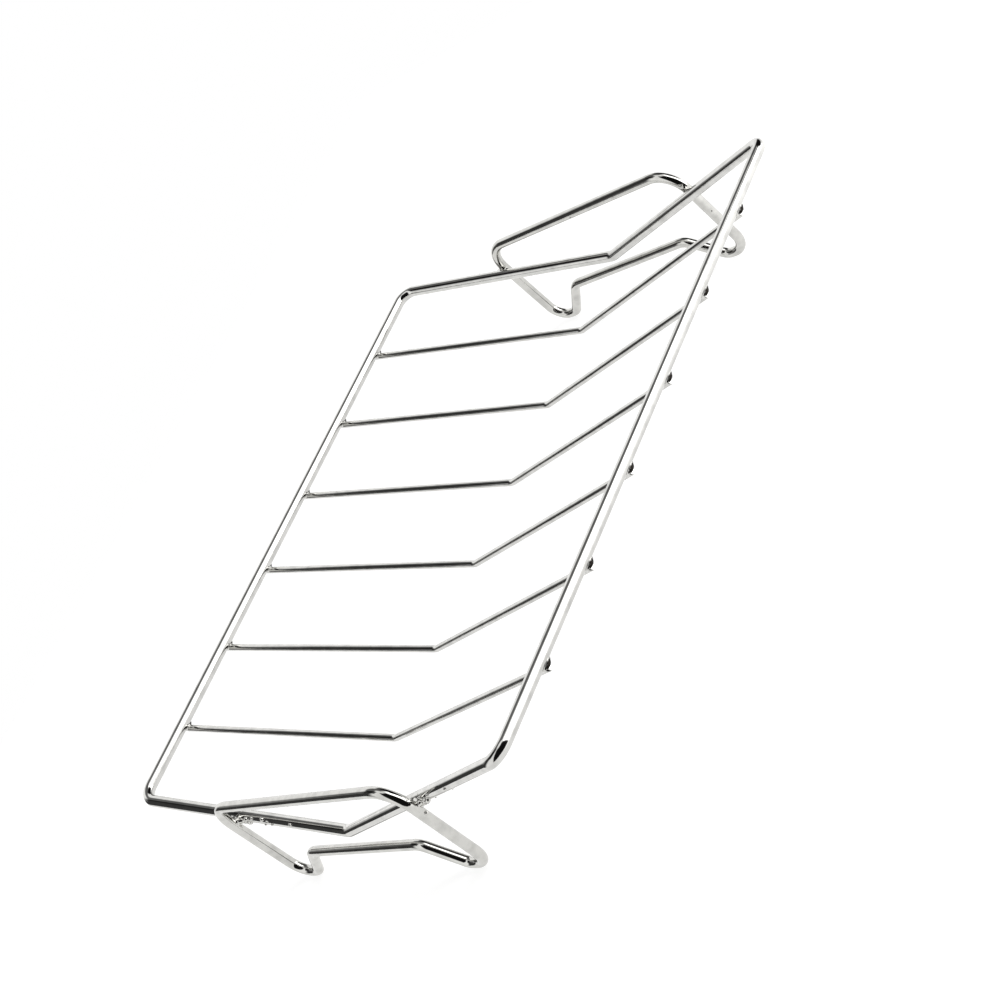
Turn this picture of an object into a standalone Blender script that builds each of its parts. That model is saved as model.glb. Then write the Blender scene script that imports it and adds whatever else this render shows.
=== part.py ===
"""Roasting rack of round steel wire, chrome plated.

One thick wire is bent into a rectangle whose two ends dip into a shallow V.
Thinner V-shaped rungs are welded under its long sides, the rails.
A closed wire loop is welded outside each end: its top bar is the handle, and its
lower side is bent into two rounded feet with a raised bridge between them.

Metres. +X runs along the rails, +Z is up, and the origin is on the surface that the
feet stand on, at the middle of the rack.
"""

import math

import bmesh
import bpy
from mathutils import Matrix, Vector

# Frame wire, measured between wire centres
RAIL_LENGTH = 0.355
RAIL_SPACING = 0.311
RAIL_HEIGHT = 0.068
FRAME_WIRE = 0.0063
END_DEPTH = 0.036
END_LEAN = 0.006
CORNER_BEND = 0.009
END_BEND = 0.010

# Rungs
RUNG_COUNT = 6
RUNG_WIRE = 0.0038
RUNG_DEPTH = 0.0336
RUNG_BEND = 0.008
RUNG_INSET = 0.047
RUNG_PROUD = 0.0004
WELD_SINK = 0.0008

# End loops
LOOP_WIRE = 0.0056
LOOP_WIDTH = 0.156
HANDLE_DROP = 0.0012
HANDLE_BEND = 0.016
BRIDGE_GAP = 0.005
BRIDGE_BEND = 0.010
FOOT_WIDTH = 0.015
FOOT_SLOPE = math.radians(45)
FOOT_BEND = 0.010
INSTEP_BEND = 0.007

# Weld beads, as the half lengths of a flattened ball along the frame wire,
# across it, and through the joint
RUNG_BEAD = Vector((0.0034, 0.0035, 0.0017))
LOOP_BEAD = Vector((0.0050, 0.0034, 0.0020))
CLEARANCE = 0.0003

# Facets
FRAME_SIDES = 16
LOOP_SIDES = 16
RUNG_SIDES = 12
BEND_STEP = math.radians(18)
SHARP_EDGE = math.radians(40)
MERGE = 0.00001

# What follows from the sizes above
FRAME_R = FRAME_WIRE / 2
RUNG_R = RUNG_WIRE / 2
LOOP_R = LOOP_WIRE / 2
RAIL_Y = RAIL_SPACING / 2
CORNER_X = RAIL_LENGTH / 2
VALLEY_X = CORNER_X + END_LEAN
LEG_Y = LOOP_WIDTH / 2

CHROME_COLOUR = (0.80, 0.80, 0.78, 1.0)


def clear_scene():
    for old in list(bpy.data.objects):
        bpy.data.objects.remove(old, do_unlink=True)


def chrome(name, roughness):
    """Bright plated steel."""
    material = bpy.data.materials.new(name)
    material.use_nodes = True
    shader = material.node_tree.nodes["Principled BSDF"]
    shader.inputs["Base Color"].default_value = CHROME_COLOUR
    shader.inputs["Metallic"].default_value = 1.0
    shader.inputs["Roughness"].default_value = roughness
    return material


def add_object(name, mesh, roughness):
    mesh.shade_smooth()
    mesh.set_sharp_from_angle(angle=SHARP_EDGE)
    mesh.materials.append(chrome(name + "_chrome", roughness))
    piece = bpy.data.objects.new(name, mesh)
    bpy.context.scene.collection.objects.link(piece)
    return piece


def add_guide(name, mesh):
    """A shape that only cuts or joins others."""
    guide = bpy.data.objects.new(name, mesh)
    guide.hide_render = True
    guide.display_type = "WIRE"
    bpy.context.scene.collection.objects.link(guide)
    return guide


def across(heading):
    """Level direction at right angles to the wire."""
    side = Vector((0, 0, 1)).cross(heading)
    return side.normalized()


def first_ring(bm, start, heading, radius, sides):
    """Section of the wire, with flats that touch the round wire at its lowest point."""
    side = across(heading)
    up = heading.cross(side)
    turn = Matrix((side, up, heading)).transposed().to_4x4()
    half_facet = math.pi / sides
    place = Matrix.Translation(start) @ turn @ Matrix.Rotation(half_facet, 4, "Z")
    made = bmesh.ops.create_circle(
        bm, segments=sides, radius=radius / math.cos(half_facet), matrix=place
    )
    return ring_of(made["verts"])


def ring_of(elements):
    """The vertices of a ring, with the edges that join them to each other."""
    verts = [e for e in elements if isinstance(e, bmesh.types.BMVert)]
    chosen = set(verts)
    edges = {e for v in verts for e in v.link_edges if e.verts[0] in chosen and e.verts[1] in chosen}
    return verts + sorted(edges, key=lambda e: [v.co[:] for v in e.verts])


def edges_of(ring):
    return [e for e in ring if isinstance(e, bmesh.types.BMEdge)]


def feed(bm, ring, step):
    """Push the wire straight on."""
    grown = bmesh.ops.extrude_edge_only(bm, edges=edges_of(ring))["geom"]
    front = ring_of(grown)
    verts = [e for e in front if isinstance(e, bmesh.types.BMVert)]
    bmesh.ops.translate(bm, verts=verts, vec=step)
    return front


def bend(bm, ring, centre, axis, angle):
    """Turn the wire round a former."""
    steps = max(2, math.ceil(angle / BEND_STEP))
    turned = bmesh.ops.spin(
        bm, geom=ring, cent=centre, axis=axis, angle=angle, steps=steps, use_duplicate=False
    )
    return ring_of(turned["geom_last"])


def bent_wire(name, corners, bends, diameter, sides, closed):
    """Wire through the corners, each rounded to its bend radius.

    A closed wire starts and ends half way along its first side, where its two ends
    are butt welded.
    """
    bm = bmesh.new()
    if closed:
        start = (corners[-1] + corners[0]) / 2
        route = list(corners)
        end = start
    else:
        start = corners[0]
        route = list(corners[1:-1])
        end = corners[-1]
    ring = first_ring(bm, start, (route[0] - start).normalized(), diameter / 2, sides)
    first = edges_of(ring)
    here = start
    for corner, radius, ahead in zip(route, bends, route[1:] + [end]):
        before = (corner - here).normalized()
        after = (ahead - corner).normalized()
        angle = before.angle(after)
        setback = radius * math.tan(angle / 2)
        axis = before.cross(after).normalized()
        bend_start = corner - before * setback
        ring = feed(bm, ring, bend_start - here)
        ring = bend(bm, ring, bend_start + axis.cross(before) * radius, axis, angle)
        here = corner + after * setback
    ring = feed(bm, ring, end - here)
    if closed:
        bmesh.ops.remove_doubles(bm, verts=bm.verts, dist=MERGE)
    else:
        bmesh.ops.contextual_create(bm, geom=first)
        bmesh.ops.contextual_create(bm, geom=edges_of(ring))
    bmesh.ops.recalc_face_normals(bm, faces=bm.faces)
    mesh = bpy.data.meshes.new(name)
    bm.to_mesh(mesh)
    bm.free()
    return mesh


def beads(name, places, size):
    """Weld metal: one flattened ball for each place, turned to lie along the frame wire."""
    bm = bmesh.new()
    for spot, along, through in places:
        sideways = through.cross(along).normalized()
        turn = Matrix((along, sideways, through)).transposed().to_4x4()
        shape = Matrix.Translation(spot) @ turn @ Matrix.Diagonal(size.to_4d())
        bmesh.ops.create_uvsphere(bm, u_segments=12, v_segments=8, radius=1, matrix=shape)
    bmesh.ops.recalc_face_normals(bm, faces=bm.faces)
    mesh = bpy.data.meshes.new(name)
    bm.to_mesh(mesh)
    bm.free()
    return mesh


def weld(piece, bead_mesh, clearance_guide):
    """Join the beads to the piece, then hollow both where they hug the frame wire."""
    joined = piece.modifiers.new("weld_beads", "BOOLEAN")
    joined.operation = "UNION"
    joined.object = add_guide(piece.name + "_beads", bead_mesh)
    seat = piece.modifiers.new("seat_on_frame", "BOOLEAN")
    seat.operation = "DIFFERENCE"
    seat.object = clearance_guide


def frame_corners():
    low = RAIL_HEIGHT - END_DEPTH
    return [
        Vector((CORNER_X, -RAIL_Y, RAIL_HEIGHT)),
        Vector((VALLEY_X, 0, low)),
        Vector((CORNER_X, RAIL_Y, RAIL_HEIGHT)),
        Vector((-CORNER_X, RAIL_Y, RAIL_HEIGHT)),
        Vector((-VALLEY_X, 0, low)),
        Vector((-CORNER_X, -RAIL_Y, RAIL_HEIGHT)),
    ]


def make_frame():
    bends = [CORNER_BEND, END_BEND, CORNER_BEND] * 2
    mesh = bent_wire("frame_wire", frame_corners(), bends, FRAME_WIRE, FRAME_SIDES, closed=True)
    return add_object("frame_wire", mesh, 0.10)


def make_clearance_guide():
    """The frame wire with the clearance round it, which seats are cut with."""
    bends = [CORNER_BEND, END_BEND, CORNER_BEND] * 2
    wide = FRAME_WIRE + 2 * CLEARANCE
    mesh = bent_wire("frame_clearance", frame_corners(), bends, wide, FRAME_SIDES, closed=True)
    return add_guide("frame_clearance", mesh)


def make_rung(number, x, clearance_guide):
    """V-shaped rung under the rails, its ends cut almost flush with their outer sides."""
    slope = math.atan2(RUNG_DEPTH, RAIL_Y)
    under_rail = RAIL_HEIGHT - (FRAME_R + RUNG_R - WELD_SINK) / math.cos(slope)
    end_y = RAIL_Y + FRAME_R + RUNG_PROUD
    end_z = under_rail + (end_y - RAIL_Y) * math.tan(slope)
    corners = [
        Vector((x, -end_y, end_z)),
        Vector((x, 0, under_rail - RUNG_DEPTH)),
        Vector((x, end_y, end_z)),
    ]
    name = f"rung_{number}"
    mesh = bent_wire(name, corners, [RUNG_BEND], RUNG_WIRE, RUNG_SIDES, closed=False)
    rung = add_object(name, mesh, 0.14)
    contact = RAIL_HEIGHT - FRAME_R - CLEARANCE
    along = Vector((1, 0, 0))
    up = Vector((0, 0, 1))
    places = [(Vector((x, side * RAIL_Y, contact)), along, up) for side in (-1, 1)]
    weld(rung, beads(name + "_beads", places, RUNG_BEAD), clearance_guide)


def make_loop(name, side, clearance_guide):
    """Closed loop outside one end: handle bar, two legs, rounded feet and raised bridge."""
    share = LEG_Y / RAIL_Y
    arm_x = VALLEY_X - END_LEAN * share
    arm_z = RAIL_HEIGHT - END_DEPTH * (1 - share)
    x = side * (arm_x + FRAME_R + LOOP_R + CLEARANCE)
    handle_z = RAIL_HEIGHT - HANDLE_DROP
    foot_z = LOOP_R
    bridge_z = RAIL_HEIGHT - END_DEPTH - FRAME_R - BRIDGE_GAP - LOOP_R
    instep_y = LEG_Y - FOOT_WIDTH
    bridge_y = instep_y - (bridge_z - foot_z) / math.tan(FOOT_SLOPE)
    half = [
        (LEG_Y, handle_z, HANDLE_BEND),
        (LEG_Y, foot_z, FOOT_BEND),
        (instep_y, foot_z, INSTEP_BEND),
        (bridge_y, bridge_z, BRIDGE_BEND),
    ]
    turns = half + [(-y, z, radius) for y, z, radius in reversed(half)]
    corners = [Vector((x, y, z)) for y, z, radius in turns]
    bends = [radius for y, z, radius in turns]
    mesh = bent_wire(name, corners, bends, LOOP_WIRE, LOOP_SIDES, closed=True)
    loop = add_object(name, mesh, 0.10)
    outward = Vector((side, 0, 0))
    contact_x = side * (arm_x + FRAME_R + CLEARANCE)
    places = []
    for hand in (-1, 1):
        arm = Vector((-side * END_LEAN, hand * RAIL_Y, END_DEPTH)).normalized()
        along = (arm - outward * arm.dot(outward)).normalized()
        places.append((Vector((contact_x, hand * LEG_Y, arm_z)), along, outward))
    weld(loop, beads(name + "_beads", places, LOOP_BEAD), clearance_guide)


def build():
    clear_scene()
    make_frame()
    clearance_guide = make_clearance_guide()
    pitch = (RAIL_LENGTH - 2 * RUNG_INSET) / (RUNG_COUNT - 1)
    for index in range(RUNG_COUNT):
        make_rung(index + 1, RUNG_INSET - CORNER_X + index * pitch, clearance_guide)
    make_loop("end_loop_front", -1, clearance_guide)
    make_loop("end_loop_rear", 1, clearance_guide)


build()
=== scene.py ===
# %% [markdown]
# # A chrome roasting rack
#
# The rack is bent from round steel wire, welded, and then chrome plated. One thick
# wire makes the rectangle that the roast's weight hangs from. Six thin wires cross
# it as shallow V's, and a closed loop at each end is handle and feet in one.
# The solids that we load first have every wire in its place, but they are faceted.
# Bright chrome shows each facet as a break in its reflections, so here every wire
# is bent again, finely, on the same line.

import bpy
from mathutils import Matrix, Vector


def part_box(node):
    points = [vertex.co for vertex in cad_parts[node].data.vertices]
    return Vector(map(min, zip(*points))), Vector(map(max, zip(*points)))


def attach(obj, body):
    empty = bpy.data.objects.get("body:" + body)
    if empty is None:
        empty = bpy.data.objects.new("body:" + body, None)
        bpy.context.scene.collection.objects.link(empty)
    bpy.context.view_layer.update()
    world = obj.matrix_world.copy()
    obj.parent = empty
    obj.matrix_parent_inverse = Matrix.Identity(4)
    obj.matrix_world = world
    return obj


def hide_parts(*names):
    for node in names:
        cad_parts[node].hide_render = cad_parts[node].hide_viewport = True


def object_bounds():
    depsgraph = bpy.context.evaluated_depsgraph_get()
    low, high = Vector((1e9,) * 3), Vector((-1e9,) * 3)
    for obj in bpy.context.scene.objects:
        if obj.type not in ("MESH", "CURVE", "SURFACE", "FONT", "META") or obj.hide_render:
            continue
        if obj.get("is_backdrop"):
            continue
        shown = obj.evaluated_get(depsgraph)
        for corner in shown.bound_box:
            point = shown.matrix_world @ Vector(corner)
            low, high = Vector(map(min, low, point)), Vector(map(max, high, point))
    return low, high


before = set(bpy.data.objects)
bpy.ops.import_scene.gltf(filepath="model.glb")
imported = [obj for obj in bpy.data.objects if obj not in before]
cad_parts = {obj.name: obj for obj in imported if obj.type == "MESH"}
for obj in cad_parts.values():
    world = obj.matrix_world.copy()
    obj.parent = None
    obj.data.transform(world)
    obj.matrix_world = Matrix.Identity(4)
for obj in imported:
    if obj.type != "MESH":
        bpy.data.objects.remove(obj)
cad_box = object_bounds()
print("solids:", ", ".join(sorted(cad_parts)))

# %% [markdown]
# ## Lines to bend along
#
# A wire is described by its thickness and by the corners of its centre line, each
# with the radius of the former that it is bent round. We could measure all of that
# on the loaded solids, but a bend's radius is hard to read from a mesh. So the
# sizes that a maker would write on the drawing are named here, in metres, and the
# places come from the boxes of the solids.

# %% Sizes on the drawing
import math
import random

import bpy
import numpy as np
from mathutils import Matrix, Quaternion, Vector

FRAME_WIRE = 0.0063
RUNG_WIRE = 0.0038
LOOP_WIRE = 0.0056
END_DEPTH = 0.036
END_LEAN = 0.006
CORNER_BEND = 0.009
END_BEND = 0.010
RUNG_DEPTH = 0.0336
RUNG_BEND = 0.008
WELD_SINK = 0.0008
HANDLE_BEND = 0.016
BRIDGE_GAP = 0.005
BRIDGE_BEND = 0.010
FOOT_WIDTH = 0.015
FOOT_SLOPE = math.radians(45)
FOOT_BEND = 0.010
INSTEP_BEND = 0.007

FRAME_R = FRAME_WIRE / 2
RUNG_R = RUNG_WIRE / 2
LOOP_R = LOOP_WIRE / 2

frame_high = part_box("frame_wire")[1]
VALLEY_X = frame_high.x - FRAME_R
CORNER_X = VALLEY_X - END_LEAN
RAIL_Y = frame_high.y - FRAME_R
RAIL_Z = frame_high.z - FRAME_R
print(f"rails: {2 * CORNER_X:.4f} long, {2 * RAIL_Y:.4f} apart, {RAIL_Z:.4f} high")

# %% [markdown]
# ## Feed and bend
#
# A wire bending machine has two movements: it pushes the wire straight on, or it
# turns it round a former. Edit mode has the same two. Extrude pushes the open ring
# at the wire's end straight on, and spin turns it about an axis. A curve with a
# round bevel would be quicker, but its rings crowd and pinch on the inside of a
# tight bend, and here each bend has the true radius of its former.
#
# The spin operator turns the other way from a rotation by hand, so its angle is
# negative. After each move only the newest ring is selected, ready for the next.

# %% The two movements
SIDES = 48
BEND_STEP = math.radians(4)
FEWEST_STEPS = 2
MERGE = 0.00001


def only(piece):
    """Select this object and no other."""
    bpy.ops.object.select_all(action="DESELECT")
    piece.select_set(True)
    bpy.context.view_layer.objects.active = piece


def start_wire(name, start, heading, radius):
    """A ring across the wire's first stretch, in edit mode, ready to be fed."""
    bpy.ops.object.select_all(action="DESELECT")
    turn = heading.to_track_quat("Z", "Y").to_euler()
    bpy.ops.mesh.primitive_circle_add(vertices=SIDES, radius=radius, location=start, rotation=turn)
    wire = bpy.context.object
    wire.name = name
    bpy.ops.object.transform_apply(location=True, rotation=True, scale=True)
    bpy.ops.object.mode_set(mode="EDIT")
    bpy.ops.mesh.select_all(action="SELECT")
    return wire


def feed(step):
    bpy.ops.mesh.extrude_edges_move(TRANSFORM_OT_translate={"value": step})


def bend(centre, axis, angle):
    steps = max(FEWEST_STEPS, math.ceil(angle / BEND_STEP))
    bpy.ops.mesh.spin(steps=steps, angle=-angle, center=centre, axis=axis, dupli=False)


# %% [markdown]
# ## Ends
#
# A closed wire ends where it began, so its last ring lies on its first and the two
# are merged, as the real ends are butt welded. An open wire is sheared off, and the
# shears leave a slanted face. Bisect does just that: it cuts the wire with a plane,
# throws away what lies outside and fills the cut. The rim is then bevelled, because
# plating and tumbling leave no sharp edge.

# %% Close or cut the ends
CUT_EDGE = 0.0003
CUT_BACK = 0.0008
CUT_LEAN = Vector((0.0, 0.0, 0.24))
CUT_STEPS = 3


def close_wire(wire):
    """Merge the last ring with the first."""
    bpy.ops.object.mode_set(mode="EDIT")
    bpy.ops.mesh.select_all(action="SELECT")
    bpy.ops.mesh.remove_doubles(threshold=MERGE)
    bpy.ops.object.mode_set(mode="OBJECT")


def cut_end(place, outward):
    """Shear the wire off a little before this place."""
    bpy.ops.object.mode_set(mode="EDIT")
    bpy.ops.mesh.select_mode(type="EDGE")
    bpy.ops.mesh.select_all(action="SELECT")
    bpy.ops.mesh.bisect(
        plane_co=place - outward * CUT_BACK,
        plane_no=(outward + CUT_LEAN).normalized(),
        use_fill=True,
        clear_outer=True,
    )
    bpy.ops.mesh.bevel(offset=CUT_EDGE, segments=CUT_STEPS, affect="EDGES")
    bpy.ops.object.mode_set(mode="OBJECT")


# %% [markdown]
# ## A whole wire
#
# Between two corners the wire is fed to where the next bend starts. That point lies
# before the corner by the radius times the tangent of half the angle.
#
# Drawn wire carries fine marks along its length, and they follow it round each
# bend. To put them there later, every face corner remembers where its bit of
# surface was while the wire was still straight: across, across, and along. The
# marks are then a plain pattern in that straight space.

# %% Bend a wire through its corners
SHARP = math.radians(40)


def remember_straight_wire(mesh, radius):
    """Store, per face corner, the point's place on the wire before it was bent."""
    count = len(mesh.vertices)
    places = np.empty(count * 3)
    mesh.vertices.foreach_get("co", places)
    centres = places.reshape(-1, SIDES, 3).mean(axis=1)
    steps = np.linalg.norm(np.diff(centres, axis=0), axis=1)
    along = np.concatenate([[0.0], np.cumsum(steps)])
    corner_verts = np.empty(len(mesh.loops), int)
    mesh.loops.foreach_get("vertex_index", corner_verts)
    around = corner_verts % SIDES * (2 * math.pi / SIDES)
    straight = np.stack(
        [radius * np.cos(around), radius * np.sin(around), along[corner_verts // SIDES]], axis=1
    )
    mesh.attributes.new("straight_wire", "FLOAT_VECTOR", "CORNER")
    mesh.attributes["straight_wire"].data.foreach_set("vector", straight.ravel())
    return along[-1]


def bent_wire(name, corners, bends, thickness, closed):
    """A round wire through the corners. A closed wire starts half way along a side."""
    start = (corners[-1] + corners[0]) / 2 if closed else corners[0]
    end = start if closed else corners[-1]
    route = list(corners) if closed else list(corners[1:-1])
    wire = start_wire(name, start, (route[0] - start).normalized(), thickness / 2)
    here = start
    for corner, radius, ahead in zip(route, bends, route[1:] + [end]):
        before = (corner - here).normalized()
        after = (ahead - corner).normalized()
        angle = before.angle(after)
        setback = radius * math.tan(angle / 2)
        axis = before.cross(after).normalized()
        bend_start = corner - before * setback
        feed(bend_start - here)
        bend(bend_start + axis.cross(before) * radius, axis, angle)
        here = corner + after * setback
    feed(end - here)
    bpy.ops.object.mode_set(mode="OBJECT")
    length = remember_straight_wire(wire.data, thickness / 2)
    only(wire)
    if closed:
        close_wire(wire)
    else:
        cut_end(start, (start - route[0]).normalized())
        cut_end(end, (end - route[-1]).normalized())
    bpy.ops.object.mode_set(mode="EDIT")
    bpy.ops.mesh.select_all(action="SELECT")
    bpy.ops.mesh.normals_make_consistent(inside=False)
    bpy.ops.object.mode_set(mode="OBJECT")
    bpy.ops.object.shade_smooth_by_angle(angle=SHARP)
    print(f"{name}: {length:.3f} m of {thickness * 1000:.1f} mm wire, {len(wire.data.vertices)} points")
    return wire


# %% [markdown]
# ## The frame wire
#
# The thick wire runs round the rack once. Its long sides are the rails. Each short
# side dips to a valley in the middle, so that a roast can't roll off, and the
# valleys lean outwards a little.

# %% Frame wire
low_z = RAIL_Z - END_DEPTH
frame_corners = [
    Vector((CORNER_X, -RAIL_Y, RAIL_Z)),
    Vector((VALLEY_X, 0, low_z)),
    Vector((CORNER_X, RAIL_Y, RAIL_Z)),
    Vector((-CORNER_X, RAIL_Y, RAIL_Z)),
    Vector((-VALLEY_X, 0, low_z)),
    Vector((-CORNER_X, -RAIL_Y, RAIL_Z)),
]
frame_bends = [CORNER_BEND, END_BEND, CORNER_BEND] * 2
frame_wire = bent_wire("frame", frame_corners, frame_bends, FRAME_WIRE, closed=True)

# %% [markdown]
# ## The rungs
#
# Six thin wires cross below the rails, each bent once in the middle. They are
# pressed into the rails by the welder, so they lie a little closer than wires that
# only touch. All six are alike: one is bent, and the others are copies of it, each
# with a mesh of its own, moved along the rails inside that mesh.

# %% Rungs
def moved_copy(piece, name, shift):
    """A copy with a mesh of its own, moved along X inside that mesh."""
    copy = piece.copy()
    copy.data = piece.data.copy()
    copy.data.transform(Matrix.Translation((shift, 0, 0)))
    copy.name = name
    bpy.context.collection.objects.link(copy)
    return copy


rung_nodes = sorted(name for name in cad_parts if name.startswith("rung_"))
rung_boxes = [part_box(name) for name in rung_nodes]
rung_places = [(low.x + high.x) / 2 for low, high in rung_boxes]
slope = math.atan2(RUNG_DEPTH, RAIL_Y)
under_rail = RAIL_Z - (FRAME_R + RUNG_R - WELD_SINK) / math.cos(slope)
rung_end_y = rung_boxes[0][1].y - RUNG_R * math.sin(slope)
rung_end_z = under_rail + (rung_end_y - RAIL_Y) * math.tan(slope)
first_x = rung_places[0]
rung_corners = [
    Vector((first_x, -rung_end_y, rung_end_z)),
    Vector((first_x, 0, under_rail - RUNG_DEPTH)),
    Vector((first_x, rung_end_y, rung_end_z)),
]
rungs = [bent_wire(rung_nodes[0] + "_wire", rung_corners, [RUNG_BEND], RUNG_WIRE, closed=False)]
for node, x in zip(rung_nodes[1:], rung_places[1:]):
    rungs.append(moved_copy(rungs[0], node + "_wire", x - first_x))
print("rungs at x =", ", ".join(f"{x:.4f}" for x in rung_places))

# %% [markdown]
# ## The end loops
#
# Each loop stands upright outside one end of the frame. From the handle bar the
# wire goes down one leg, turns under to make a foot, climbs to the raised bridge,
# and does the same in reverse. It hangs on the frame's two sloping arms, to which
# the legs are welded.

# %% End loops
def bent_loop(name, node, side):
    """One end loop, sized by its solid's box. Side is -1 in front and 1 at the rear."""
    low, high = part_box(node)
    x = side * (max(abs(low.x), abs(high.x)) - LOOP_R)
    leg_y = high.y - LOOP_R
    handle_z = high.z - LOOP_R
    foot_z = low.z + LOOP_R
    bridge_z = RAIL_Z - END_DEPTH - FRAME_R - BRIDGE_GAP - LOOP_R
    instep_y = leg_y - FOOT_WIDTH
    bridge_y = instep_y - (bridge_z - foot_z) / math.tan(FOOT_SLOPE)
    half = [
        (leg_y, handle_z, HANDLE_BEND),
        (leg_y, foot_z, FOOT_BEND),
        (instep_y, foot_z, INSTEP_BEND),
        (bridge_y, bridge_z, BRIDGE_BEND),
    ]
    turns = half + [(-y, z, radius) for y, z, radius in reversed(half)]
    corners = [Vector((x, y, z)) for y, z, radius in turns]
    return bent_wire(name, corners, [radius for y, z, radius in turns], LOOP_WIRE, closed=True)


loops = [
    bent_loop("front_loop", "end_loop_front", -1),
    bent_loop("rear_loop", "end_loop_rear", 1),
]

# %% [markdown]
# ## Weld metal
#
# Where two wires meet, molten steel has filled the groove between them. It has no
# sharp edge anywhere, and it runs out thinly over both wires. We get that shape the
# way a sculptor would: short rods lie inside the wires, lumps are pressed on where
# the metal is, everything is fused by a voxel remesh, and then it is smoothed,
# which fills the grooves. The metal is rippled. Away from the joint the skin is
# drawn in instead, so that it goes under the wires' surface and only metal shows.

# %% Fuse and smooth
GRAIN = 0.00024
UNDER = 0.00035
CLOUD_SIZE = 0.0016
FADE_END = 1.6
LUMP_SIDES = 24


def rod(start, end, radius):
    """A straight length of wire."""
    bpy.ops.mesh.primitive_cylinder_add(
        vertices=SIDES,
        radius=radius,
        depth=(end - start).length,
        location=(start + end) / 2,
        rotation=(end - start).to_track_quat("Z", "Y").to_euler(),
    )
    return bpy.context.object


def lump(place, size, along):
    """A drop of metal, whose first size lies along the given direction."""
    bpy.ops.mesh.primitive_uv_sphere_add(
        segments=LUMP_SIDES,
        ring_count=LUMP_SIDES // 2,
        radius=1.0,
        location=place,
        rotation=along.to_track_quat("X", "Z").to_euler(),
        scale=size,
    )
    return bpy.context.object


def join(name, parts):
    bpy.ops.object.select_all(action="DESELECT")
    for part in parts:
        part.select_set(True)
    bpy.context.view_layer.objects.active = parts[0]
    bpy.ops.object.join()
    bpy.ops.object.transform_apply(location=True, rotation=True, scale=True)
    piece = bpy.context.object
    piece.name = name
    return piece


def apply_modifier(piece, kind, **settings):
    modifier = piece.modifiers.new(kind.lower(), kind)
    for setting, value in settings.items():
        setattr(modifier, setting, value)
    bpy.ops.object.modifier_apply(modifier=modifier.name)


def fuse(name, parts, rounds):
    """Make the parts one skin and smooth it for so many rounds."""
    weld = join(name, parts)
    apply_modifier(weld, "REMESH", mode="VOXEL", voxel_size=GRAIN)
    apply_modifier(weld, "SMOOTH", factor=0.5, iterations=rounds)
    return weld


def ripple(weld, centre, reach, height):
    """Ripple the skin round the centre, and draw in what lies beyond the reach, softly."""
    only(weld)
    shown = weld.vertex_groups.new(name="shown")
    hidden = weld.vertex_groups.new(name="hidden")
    for vertex in weld.data.vertices:
        past = (vertex.co - centre).length / reach
        share = min(1.0, max(0.0, FADE_END - past))
        shown.add([vertex.index], share, "REPLACE")
        hidden.add([vertex.index], 1.0 - share, "REPLACE")
    clouds = bpy.data.textures.new(weld.name, "CLOUDS")
    clouds.noise_scale = CLOUD_SIZE
    apply_modifier(
        weld, "DISPLACE", texture=clouds, strength=height, mid_level=0.5, vertex_group="shown"
    )
    apply_modifier(weld, "DISPLACE", strength=-UNDER, mid_level=0.0, vertex_group="hidden")
    weld.vertex_groups.clear()
    bpy.ops.object.shade_smooth()


def mark_bare_and_shade(weld, spots):
    """Mark spots of metal without plating, and of painted shade in the rung welds' crevices: 1 in each
    spot's inner half, falling to 0 outside.
    """
    count = len(weld.data.vertices)
    places = np.empty(count * 3)
    weld.data.vertices.foreach_get("co", places)
    bare_and_shade = np.zeros(count)
    for place, radius in spots:
        away = np.linalg.norm(places.reshape(-1, 3) - np.array(place), axis=1)
        bare_and_shade = np.maximum(bare_and_shade, np.clip(2.0 - 2.0 * away / radius, 0.0, 1.0))
    weld.data.attributes.new("bare_and_shade", "FLOAT", "POINT")
    weld.data.attributes["bare_and_shade"].data.foreach_set("value", bare_and_shade)


# %% [markdown]
# ## Rung welds
#
# The rungs are resistance welded: electrodes press the crossing wires together, and
# the current melts them where they touch. A little metal is squeezed out beside the
# rung, along the rail, and the plating misses some of it. Spots there are painted
# dark. Partly they stand for that metal without plating, and partly they are painted
# shade in the crevice where the rung meets the rail, beside its end. There are twelve
# such welds. The first rung's two are fused, and the others are copies of them. Each
# copy is rippled only in its own place, by a cloud pattern that is different
# everywhere, so no two come out alike.

# %% Rung welds
RAIL_STUB = 0.007
RUNG_STUB = (0.011, 0.0024)
RUNG_ROUNDS = 12
RUNG_REACH = 0.0042
RUNG_RIPPLE = 0.0003
# Each lump's place and size, and each dark spot's place and radius. The spots are
# metal without plating, and painted shade in the crevice beside the rung's end. A
# place is told from where the wires touch: along the rail, outwards and up.
RUNG_LUMPS = [
    ((0.0010, 0.0009, 0.0), (0.0036, 0.0028, 0.0015)),
    ((0.0024, 0.0021, 0.0008), (0.0028, 0.0012, 0.0012)),
]
RUNG_BARE_AND_SHADE_SPOTS = [
    ((0.0022, -0.0022, 0.0003), 0.0012),
    ((0.0, 0.0032, -0.0002), 0.0019),
    ((0.0015, 0.0032, 0.0002), 0.0020),
    ((0.0030, 0.0032, 0.0002), 0.0017),
    ((0.0044, 0.0032, 0.0002), 0.0012),
]


def first_rung_weld(name, hand):
    """The first rung's weld on one side, still smooth."""
    rail_middle = Vector((first_x, hand * RAIL_Y, RAIL_Z))
    stub = Vector((RAIL_STUB, 0, 0))
    rung_out = Vector((0, hand * math.cos(slope), math.sin(slope)))
    rung_end = Vector((first_x, hand * rung_end_y, rung_end_z))
    stub_start, stub_end = (rung_end - rung_out * back for back in RUNG_STUB)
    parts = [
        rod(rail_middle - stub, rail_middle + stub, FRAME_R),
        rod(stub_start, stub_end, RUNG_R),
    ]
    touch = rail_middle - Vector((0, 0, FRAME_R))
    for (along, outwards, up), size in RUNG_LUMPS:
        parts.append(lump(touch + Vector((along, hand * outwards, up)), size, stub))
    return fuse(name, parts, RUNG_ROUNDS)


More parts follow.
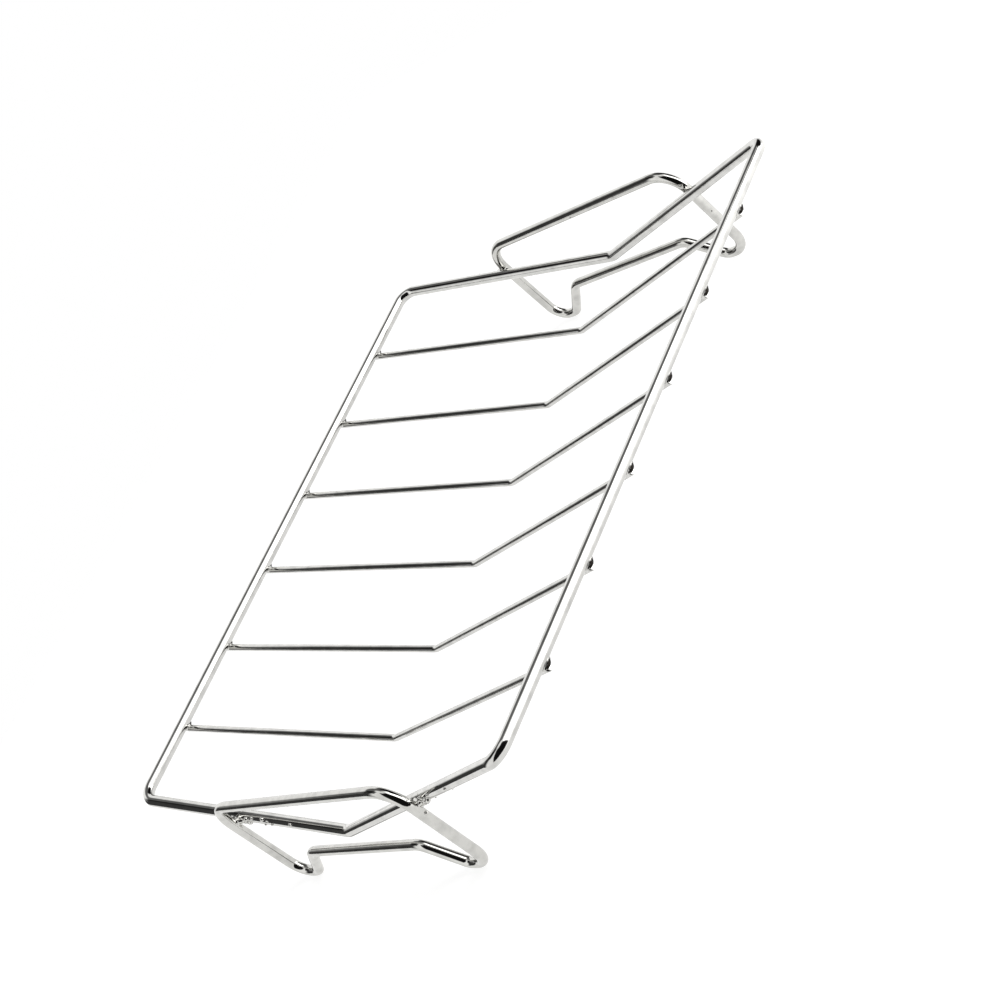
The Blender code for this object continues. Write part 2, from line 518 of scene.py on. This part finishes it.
def finish_rung_weld(weld, x, hand):
    touch = Vector((x, hand * RAIL_Y, RAIL_Z - FRAME_R))
    ripple(weld, touch, RUNG_REACH, RUNG_RIPPLE)
    spots = []
    for (along, outwards, up), radius in RUNG_BARE_AND_SHADE_SPOTS:
        spots.append((touch + Vector((along, hand * outwards, up)), radius))
    # Paint the spots dark: metal without plating, and painted shade in the crevice where the rung meets
    # the rail
    mark_bare_and_shade(weld, spots)


rung_welds = []
for hand, label in ((-1, "right"), (1, "left")):
    first = first_rung_weld(f"{rung_nodes[0]}_{label}_weld", hand)
    welds = [first]
    for node, x in zip(rung_nodes[1:], rung_places[1:]):
        welds.append(moved_copy(first, f"{node}_{label}_weld", x - first_x))
    for weld, x in zip(welds, rung_places):
        finish_rung_weld(weld, x, hand)
    rung_welds += welds
print(len(rung_welds), "rung welds of", len(rung_welds[0].data.polygons), "faces")

# %% [markdown]
# ## Loop welds
#
# The loops are welded on with a torch and filler wire, which is rougher work. The
# filler was dabbed on, so each weld is a string of drops of different sizes, and
# beads of spatter stuck to the wires round it and were plated over.

# %% Where the loops meet the frame
loop_low, loop_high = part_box("end_loop_front")
LOOP_X = -loop_low.x - LOOP_R
LEG_Y = loop_high.y - LOOP_R
LEG_TOP = loop_high.z - LOOP_R - HANDLE_BEND


def joint(side, hand):
    """The middles of arm and leg where they meet, and the ways down the arm, out and below."""
    corner = Vector((side * CORNER_X, hand * RAIL_Y, RAIL_Z))
    valley = Vector((side * VALLEY_X, 0, low_z))
    arm = (valley - corner).normalized()
    on_arm = corner + arm * ((RAIL_Y - LEG_Y) / abs(arm.y))
    on_leg = Vector((side * LOOP_X, hand * LEG_Y, on_arm.z))
    out = (on_leg - on_arm).normalized()
    below = arm.cross(out)
    return on_arm, on_leg, arm, out, (below if below.z < 0 else -below)


front_joint = joint(-1, 1)
apart = (front_joint[1] - front_joint[0]).length
print(f"the wires' middles are {apart * 1000:.2f} mm apart at a joint")

# %% [markdown]
# ## Filler
#
# Each drop is placed in the weld's own terms: how far it ran along the arm, and how
# far round the arm it sits, from straight out at 0 to right below at a quarter turn.
# We could place the drops by hand, but nobody could tell. So they are drawn by
# chance, between limits, from a seed that makes each weld the same every time. The
# drops are fused with short stubs of both wires.

# %% Filler
ARM_STUB = 0.012
LEG_STUB = 0.010
LEG_OVERLAP = 0.001
LOOP_ROUNDS = 9
LOOP_REACH = 0.0075
LOOP_RIPPLE = 0.00035
METAL_MIDDLE = 0.003
TOUCH_LUMP = (0.0050, 0.0030, 0.0022)
DROP_PROUD = 0.2
DROP_LENGTH = 1.2
# How many, and the limits of each one's run along the arm, turn round it, and radius
DROPS = (9, (-0.0015, 0.0085), (0.1, 1.25), (0.0009, 0.0017))
SPOTS = (7, (-0.003, 0.008), (0.0, 1.3), (0.0006, 0.0013))


def turned(out, below, turn):
    """The direction from the arm's middle that is turned so far from out to below."""
    return out * math.cos(turn) + below * math.sin(turn)


def filler(name, side, hand, drift, chance):
    """The fused metal of one weld, rippled, with its spots without plating marked."""
    on_arm, on_leg, arm, out, below = joint(side, hand)
    touch = on_arm + out * FRAME_R
    leg_end = on_leg - Vector((0, 0, LEG_STUB))
    leg_top = Vector((on_leg.x, on_leg.y, LEG_TOP + LEG_OVERLAP))
    parts = [
        rod(on_arm - arm * ARM_STUB, on_arm + arm * ARM_STUB, FRAME_R),
        rod(leg_end, leg_top, LOOP_R),
        lump(touch, TOUCH_LUMP, arm),
    ]
    count, runs, turns, sizes = DROPS
    for drop in range(count):
        along = arm * (drift * chance.uniform(*runs))
        outward = turned(out, below, chance.uniform(*turns))
        size = chance.uniform(*sizes)
        place = on_arm + along + outward * (FRAME_R + size * DROP_PROUD)
        parts.append(lump(place, (size * DROP_LENGTH, size, size), arm))
    weld = fuse(name, parts, LOOP_ROUNDS)
    ripple(weld, touch + arm * drift * METAL_MIDDLE, LOOP_REACH, LOOP_RIPPLE)
    spots = []
    count, runs, turns, sizes = SPOTS
    for spot in range(count):
        outward = turned(out, below, chance.uniform(*turns))
        along = arm * (drift * chance.uniform(*runs))
        spots.append((on_arm + along + outward * FRAME_R, chance.uniform(*sizes)))
    mark_bare_and_shade(weld, spots)
    return weld


# %% [markdown]
# ## Spatter
#
# The beads stay whole, half sunk in the wire, as real spatter is. Most are fine and
# are drawn by chance. The large ones on the two near welds are where the photograph
# shows them. They are joined to their weld's mesh without being fused.

# %% Spatter
# As for the drops: how many, and the limits of run, turn and radius
SPATTER = (12, (-0.006, 0.030), (-0.6, 1.7), (0.0004, 0.0009))
# The large beads. On the arm: run, turn and radius. On the leg: how far below the
# arm, the turn from +X towards +Y, and radius.
LEFT_ARM_BEADS = [
    (0.0090, -0.45, 0.0013),
    (0.0135, -0.75, 0.0009),
    (0.0215, -0.85, 0.0012),
    (0.0425, -0.65, 0.0010),
]
RIGHT_LEG_BEADS = [(0.0045, -1.44, 0.0011)]


def loop_weld(name, side, hand, drift, seed, arm_beads=(), leg_beads=()):
    """Drift is which way the filler ran along the arm: 1 to the valley, -1 to the corner."""
    chance = random.Random(seed)
    weld = filler(name, side, hand, drift, chance)
    on_arm, on_leg, arm, out, below = joint(side, hand)
    count, runs, turns, sizes = SPATTER
    spatter = []
    for speck in range(count):
        run = drift * chance.uniform(*runs)
        turn = chance.uniform(*turns)
        spatter.append((run, turn, chance.uniform(*sizes)))
    beads = [weld]
    for run, turn, size in spatter + list(arm_beads):
        place = on_arm + arm * run + turned(out, below, turn) * FRAME_R
        beads.append(lump(place, (size, size, size), arm))
    for depth, turn, size in leg_beads:
        round_leg = Vector((math.cos(turn), math.sin(turn), 0.0))
        place = on_leg - Vector((0.0, 0.0, depth)) + round_leg * LOOP_R
        beads.append(lump(place, (size, size, size), arm))
    weld = join(name, beads)
    bpy.ops.object.shade_smooth()
    return weld


loop_welds = [
    loop_weld("front_left_weld", -1, 1, 1, 5, arm_beads=LEFT_ARM_BEADS),
    loop_weld("front_right_weld", -1, -1, -1, 8, leg_beads=RIGHT_LEG_BEADS),
    loop_weld("rear_left_weld", 1, 1, -1, 11),
    loop_weld("rear_right_weld", 1, -1, 1, 14),
]
print(len(loop_welds), "loop welds of", len(loop_welds[0].data.polygons), "faces")

# %% [markdown]
# ## Nodes
#
# A finish is built from nodes. Each kind that is used more than once gets a helper,
# which makes the node, sets it and gives back its output, so that the finishes
# below read like recipes. The floor's glow and the studio's light use them too.

# %% Node helpers
def plug(tree, value, socket):
    """Link a node's output to the socket, or set the socket to a number or colour."""
    if isinstance(value, bpy.types.NodeSocket):
        tree.links.new(value, socket)
    else:
        socket.default_value = value


def math_node(tree, operation, *values):
    node = tree.nodes.new("ShaderNodeMath")
    node.operation = operation
    for socket, value in zip(node.inputs, values):
        plug(tree, value, socket)
    return node.outputs[0]


def attribute(tree, name, output):
    """Something that the piece's mesh carries, read by its name."""
    node = tree.nodes.new("ShaderNodeAttribute")
    node.attribute_name = name
    return node.outputs[output]


def noise(tree, place, scale, detail):
    """Soft random patches, so many to the metre, with so many finer layers on top."""
    node = tree.nodes.new("ShaderNodeTexNoise")
    node.inputs["Scale"].default_value = scale
    node.inputs["Detail"].default_value = detail
    tree.links.new(place, node.inputs["Vector"])
    return node.outputs["Fac"]


def remap(tree, value, before, after, interpolation="LINEAR"):
    """Stretch one range of values to another and hold what lies outside it."""
    node = tree.nodes.new("ShaderNodeMapRange")
    node.interpolation_type = interpolation
    node.inputs["From Min"].default_value, node.inputs["From Max"].default_value = before
    node.inputs["To Min"].default_value, node.inputs["To Max"].default_value = after
    tree.links.new(value, node.inputs["Value"])
    return node.outputs["Result"]


def mix(tree, kind, share, none, full):
    """Mix colours (RGBA) or numbers (FLOAT) by a share that runs from none to full."""
    node = tree.nodes.new("ShaderNodeMix")
    node.data_type = kind
    for name, value in (("Factor", share), ("A", none), ("B", full)):
        plug(tree, value, node.inputs[name])
    return node.outputs["Result"]


def bump(tree, height, strength, distance, surface=None):
    """Tilt the surface as if it were raised, on top of an earlier bump if there is one."""
    node = tree.nodes.new("ShaderNodeBump")
    node.inputs["Strength"].default_value = strength
    node.inputs["Distance"].default_value = distance
    tree.links.new(height, node.inputs["Height"])
    if surface:
        tree.links.new(surface, node.inputs["Normal"])
    return node.outputs["Normal"]


# %% [markdown]
# ## Chrome
#
# Chrome has next to no colour of its own, so its material is mostly a clean mirror:
# metallic 1, a low roughness, and a tint a little below white. What makes it real
# is how that mirror is disturbed. There is a thin uneven film of grease and washing
# marks, which makes some places a little less sharp and others a little darker. And
# there are dark, rough places: small pits without plating, and the spots that each
# weld has marked in its mesh. Those spots are metal without plating, and on the rung
# welds partly painted shade in the crevice where the rung meets the rail.

# %% Colour and gloss
# The colour of pits, of metal without plating, and of the painted shade in the rung welds' crevices
BARE_AND_SHADE_TONE = (0.018, 0.016, 0.014, 1.0)
BARE_AND_SHADE_ROUGHNESS = 0.45
STAIN = 0.80
STAIN_SCALE = 160.0
STAIN_DETAIL = 5.0
STAINED = (0.42, 0.72)
SMEAR_SCALE = 55.0
SMEAR_DETAIL = 4.0
SMEARED = (0.35, 0.7)
PIT_CELLS = 95.0
PIT_EDGE = (0.05, 0.075)


def unplated_and_shade(tree, place, pits):
    """1 in pits, in metal without plating and in painted crevice shade, 0 on good plating.

    Pits is the share of the cells, each about a centimetre wide, that have a pit.
    """
    cells = tree.nodes.new("ShaderNodeTexVoronoi")
    cells.inputs["Scale"].default_value = PIT_CELLS
    tree.links.new(place, cells.inputs["Vector"])
    pit = remap(tree, cells.outputs["Distance"], PIT_EDGE, (1.0, 0.0))
    chosen = math_node(tree, "LESS_THAN", cells.outputs["Color"], pits)
    pitted = math_node(tree, "MULTIPLY", pit, chosen)
    # The weld spots: metal without plating, and on the rung welds painted shade in the crevice
    return math_node(tree, "MAXIMUM", pitted, attribute(tree, "bare_and_shade", "Fac"))


def plating_colour(tree, place, dull_and_shade, tint):
    stains = noise(tree, place, STAIN_SCALE, STAIN_DETAIL)
    stained = remap(tree, stains, STAINED, (0.0, 1.0))
    darker = [share * STAIN for share in tint]
    clean = mix(tree, "RGBA", stained, (*tint, 1.0), (*darker, 1.0))
    return mix(tree, "RGBA", dull_and_shade, clean, BARE_AND_SHADE_TONE)


def plating_gloss(tree, place, dull_and_shade, roughness, film):
    smears = noise(tree, place, SMEAR_SCALE, SMEAR_DETAIL)
    sheen = remap(tree, smears, SMEARED, (roughness, roughness + film))
    return mix(tree, "FLOAT", dull_and_shade, sheen, BARE_AND_SHADE_ROUGHNESS)


print("pits are up to", f"{1000 * PIT_EDGE[1] / PIT_CELLS:.1f} mm from middle to rim")

# %% [markdown]
# ## Waves and drawing marks
#
# The plating follows the steel under it, so it waves gently over a few millimetres,
# and the drawing die has left fine marks along the wire. Both are far too shallow to
# model, and both show only in what the mirror does, so they are bumps. The marks are
# a noise in the straight space that each wire remembers, stretched along it. One
# bump is stacked on the other.

# %% Waves and marks
WAVE_SCALE = 220.0
WAVE_DETAIL = 1.0
WAVE_STRENGTH = 0.5
WAVE_HEIGHT = 0.00004
MARK_SCALE = 3000.0
MARK_DETAIL = 2.0
MARK_STRENGTH = 0.25
MARK_HEIGHT = 0.00001
MARK_STRETCH = 0.02


def drawn_surface(tree, place):
    waves = noise(tree, place, WAVE_SCALE, WAVE_DETAIL)
    plating = bump(tree, waves, WAVE_STRENGTH, WAVE_HEIGHT)
    stretch = tree.nodes.new("ShaderNodeMapping")
    stretch.inputs["Scale"].default_value = (1.0, 1.0, MARK_STRETCH)
    straight = attribute(tree, "straight_wire", "Vector")
    tree.links.new(straight, stretch.inputs["Vector"])
    marks = noise(tree, stretch.outputs["Vector"], MARK_SCALE, MARK_DETAIL)
    return bump(tree, marks, MARK_STRENGTH, MARK_HEIGHT, surface=plating)


print("waves are about", f"{1000 / WAVE_SCALE:.1f} mm apart")

# %% [markdown]
# ## Three finishes
#
# The frame, the rungs and the loops were plated alike, but they don't look alike.
# The frame is the cleanest. The rungs are duller, since they were drawn thinner and
# are scrubbed most, and the hand-made loops have the most pits. One recipe makes all
# three, with a tint, a roughness, a film and a share of pits for each.

# %% Chrome material
def chrome(name, tint, roughness, film, pits):
    """Plated drawn wire. Film is how much the roughness varies from place to place."""
    material = bpy.data.materials.new(name)
    material.use_nodes = True
    tree = material.node_tree
    place = tree.nodes.new("ShaderNodeTexCoord").outputs["Object"]
    dull_and_shade = unplated_and_shade(tree, place, pits)
    shader = tree.nodes["Principled BSDF"]
    shader.inputs["Metallic"].default_value = 1.0
    tree.links.new(plating_colour(tree, place, dull_and_shade, tint), shader.inputs["Base Color"])
    tree.links.new(plating_gloss(tree, place, dull_and_shade, roughness, film), shader.inputs["Roughness"])
    tree.links.new(drawn_surface(tree, place), shader.inputs["Normal"])
    print(f"{name}: {len(tree.nodes)} nodes")
    return material


frame_chrome = chrome(
    "plated_frame", tint=(0.64, 0.635, 0.615), roughness=0.035, film=0.05, pits=0.05
)
rung_chrome = chrome(
    "plated_rungs", tint=(0.62, 0.615, 0.595), roughness=0.05, film=0.08, pits=0.08
)
loop_chrome = chrome(
    "plated_loops", tint=(0.61, 0.605, 0.58), roughness=0.04, film=0.06, pits=0.30
)

# %% [markdown]
# ## Put the wires in the frame
#
# Each fine wire stands for the solid that it was bent over, which is hidden, takes
# its finish, and moves with the rack's only body.

# %% Dress the frame
def dress(piece, node, material):
    piece.data.materials.clear()
    piece.data.materials.append(material)
    if node:
        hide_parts(node)
    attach(piece, "root")


dress(frame_wire, "frame_wire", frame_chrome)
for rung, node in zip(rungs, rung_nodes):
    dress(rung, node, rung_chrome)
for loop, node in zip(loops, ("end_loop_front", "end_loop_rear")):
    dress(loop, node, loop_chrome)
for weld in rung_welds:
    dress(weld, None, rung_chrome)
for weld in loop_welds:
    dress(weld, None, loop_chrome)
print("wires dressed:", 1 + len(rungs) + len(loops))
print("welds dressed:", len(rung_welds) + len(loop_welds))

# %% [markdown]
# ## Floor
#
# The rack stands on a sheet of white plastic that is lit from below too, as a light
# table is. That takes nearly all the shadow away, so the sheet looks as white as
# the room round it, and from any side the eye can't tell where it ends. On the
# lamp's side its glow is made stronger, a painted pool of the lamp's light, which
# the wires' undersides mirror. The sheet is small, because beyond it they should
# mirror the dark flags.

# %% Floor
FLOOR_SIZE = 1.2
FLOOR_TONE = (0.40, 0.40, 0.397, 1.0)
FLOOR_ROUGHNESS = 0.9
FLOOR_GLOW = 0.81
# Painted light: the extra glow on the lamp's side, a painted pool of the lamp's light
LAMP_GLOW = 0.50
TOWARDS_LAMP = (0.56, -0.83, 0.0)
GLOW_GROWS = (0.12, 0.34)

bpy.ops.object.select_all(action="DESELECT")
bpy.ops.mesh.primitive_plane_add(size=FLOOR_SIZE, location=(0, 0, 0))
floor = bpy.context.object
floor.name = "floor"
sheet = bpy.data.materials.new("floor_sheet")
sheet.use_nodes = True
sheet_tree = sheet.node_tree
sheet_shader = sheet_tree.nodes["Principled BSDF"]
sheet_shader.inputs["Base Color"].default_value = FLOOR_TONE
sheet_shader.inputs["Roughness"].default_value = FLOOR_ROUGHNESS
sheet_shader.inputs["Specular IOR Level"].default_value = 0.0
sheet_shader.inputs["Emission Color"].default_value = (1.0, 1.0, 1.0, 1.0)
sheet_place = sheet_tree.nodes.new("ShaderNodeTexCoord").outputs["Object"]
towards_lamp = sheet_tree.nodes.new("ShaderNodeVectorMath")
towards_lamp.operation = "DOT_PRODUCT"
towards_lamp.inputs[1].default_value = TOWARDS_LAMP
sheet_tree.links.new(sheet_place, towards_lamp.inputs[0])
lampward = towards_lamp.outputs["Value"]
glows = (FLOOR_GLOW, FLOOR_GLOW + LAMP_GLOW)
sheet_glow = remap(sheet_tree, lampward, GLOW_GROWS, glows, "SMOOTHSTEP")
sheet_tree.links.new(sheet_glow, sheet_shader.inputs["Emission Strength"])
floor.data.materials.append(sheet)
floor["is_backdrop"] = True
print(f"floor sheet: {FLOOR_SIZE} m square")

# %% [markdown]
# ## Light
#
# A chrome wire is a mirror, so lighting it means building the room that it shows.
# A photographer puts it in a white tent, sets one large lamp in front of it on the
# right, and then places dark flags where the wires need an edge. The tent and the
# flags could be real objects, but they would have to be hidden from the camera. A
# world that is white, with soft dark patches in set directions, does the same and
# lights the floor evenly.
#
# The flags were placed by asking of each dark line in the photograph: which
# direction does the wire mirror there? The dark line along each rail is a flag
# overhead, the dark left halves of the rungs are one behind on the left, and the
# black spots on the corners are the dark side of the room, where the camera stands.
# A little light leaks past the first flag half way up, which is why the right halves
# of the far rungs have a paler line than those of the near ones.

# %% Studio
TENT = 1.178
DARK = 0.008
# Each patch: middle and half width of its azimuth, then of its elevation, in degrees,
# how soft its edge is, and how much light it adds or what share a flag takes away
LAMPS = [
    ((-56.0, 36.0), (12.0, 46.0), 10.0, 2.3),
]
FLAGS = [
    ((118.5, 21.5), (14.0, 59.0), 9.0, 0.962),
    ((68.5, 83.5), (60.0, 17.0), 4.0, 0.86),
    ((-123.5, 52.5), (33.0, 42.0), 5.0, 1.0),
    ((-4.0, 33.0), (27.0, 20.0), 6.0, 1.0),
]
# What leaks past the flags is added last
FILLS = [
    ((102.0, 11.0), (23.5, 6.5), 3.5, 0.24),
]


def inside_window(tree, angle, middle, half_width, softness):
    """1 inside the window of angles, falling to 0 over the softness at its edges."""
    away = math_node(tree, "ABSOLUTE", math_node(tree, "SUBTRACT", angle, math.radians(middle)))
    past = math_node(tree, "SUBTRACT", away, math.radians(half_width))
    edge = math.radians(softness)
    return remap(tree, past, (-edge, edge), (1.0, 0.0), "SMOOTHSTEP")


def studio():
    world = bpy.data.worlds.new("studio")
    bpy.context.scene.world = world
    world.use_nodes = True
    tree = world.node_tree
    background = tree.nodes["Background"]
    direction = tree.nodes.new("ShaderNodeTexCoord")
    parts = tree.nodes.new("ShaderNodeSeparateXYZ")
    tree.links.new(direction.outputs["Generated"], parts.inputs["Vector"])
    azimuth = math_node(tree, "ARCTAN2", parts.outputs["Y"], parts.outputs["X"])
    elevation = math_node(tree, "ARCSINE", parts.outputs["Z"])

    def patch(side, height, softness, amount):
        across = inside_window(tree, azimuth, *side, softness)
        up = inside_window(tree, elevation, *height, softness)
        return math_node(tree, "MULTIPLY", math_node(tree, "MULTIPLY", across, up), amount)

    light = TENT
    for lamp in LAMPS:
        light = math_node(tree, "ADD", light, patch(*lamp))
    for flag in FLAGS:
        light = math_node(tree, "MULTIPLY", light, math_node(tree, "SUBTRACT", 1.0, patch(*flag)))
    for fill in FILLS:
        light = math_node(tree, "ADD", light, patch(*fill))
    light = math_node(tree, "ADD", light, DARK)
    ray = tree.nodes.new("ShaderNodeLightPath")
    missing = math_node(tree, "SUBTRACT", 1.0, light)
    seen = math_node(tree, "MULTIPLY", missing, ray.outputs["Is Camera Ray"])
    tree.links.new(math_node(tree, "ADD", light, seen), background.inputs["Strength"])
    background.inputs["Color"].default_value = (1.0, 1.0, 1.0, 1.0)
    print(f"studio: white tent, {len(LAMPS)} lamp, {len(FLAGS)} dark flags, {len(FILLS)} leak")


studio()
bpy.context.scene.view_settings.view_transform = "Standard"

# %% [markdown]
# ## Camera
#
# The photograph looks down at the rack's front right corner with the camera rolled
# far to one side, so that the rack seems to stand on a corner. The camera is set
# up level first, and then rolled about its own line of sight.

# %% Camera
AIM = Vector((0.0044, -0.0143, 0.040))
DISTANCE = 1.0597
AZIMUTH = math.radians(-120.67)
ELEVATION = math.radians(25.34)
ROLL = math.radians(51.19)
LENS = 73.97
SENSOR = 36.0

towards_camera = Vector((
    math.cos(ELEVATION) * math.cos(AZIMUTH),
    math.cos(ELEVATION) * math.sin(AZIMUTH),
    math.sin(ELEVATION),
))
camera_data = bpy.data.cameras.new("camera")
camera_data.lens = LENS
camera_data.sensor_width = SENSOR
camera = bpy.data.objects.new("camera", camera_data)
camera.location = AIM + towards_camera * DISTANCE
camera.rotation_mode = "QUATERNION"
level = (-towards_camera).to_track_quat("-Z", "Y")
camera.rotation_quaternion = level @ Quaternion((0, 0, 1), -ROLL)
bpy.context.collection.objects.link(camera)
bpy.context.scene.camera = camera
print("camera at", ", ".join(f"{value:.3f}" for value in camera.location))

# %% [markdown]
# ## The size
#
# The fine wires must fill the same box as the solids and no more. Both boxes are
# written side by side.

# %% Sizes and finish
visual_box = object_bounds()
for label, (low, high) in (("solids", cad_box), ("wires", visual_box)):
    print(label, " x ".join(f"{size * 1000:.2f}" for size in high - low), "mm")
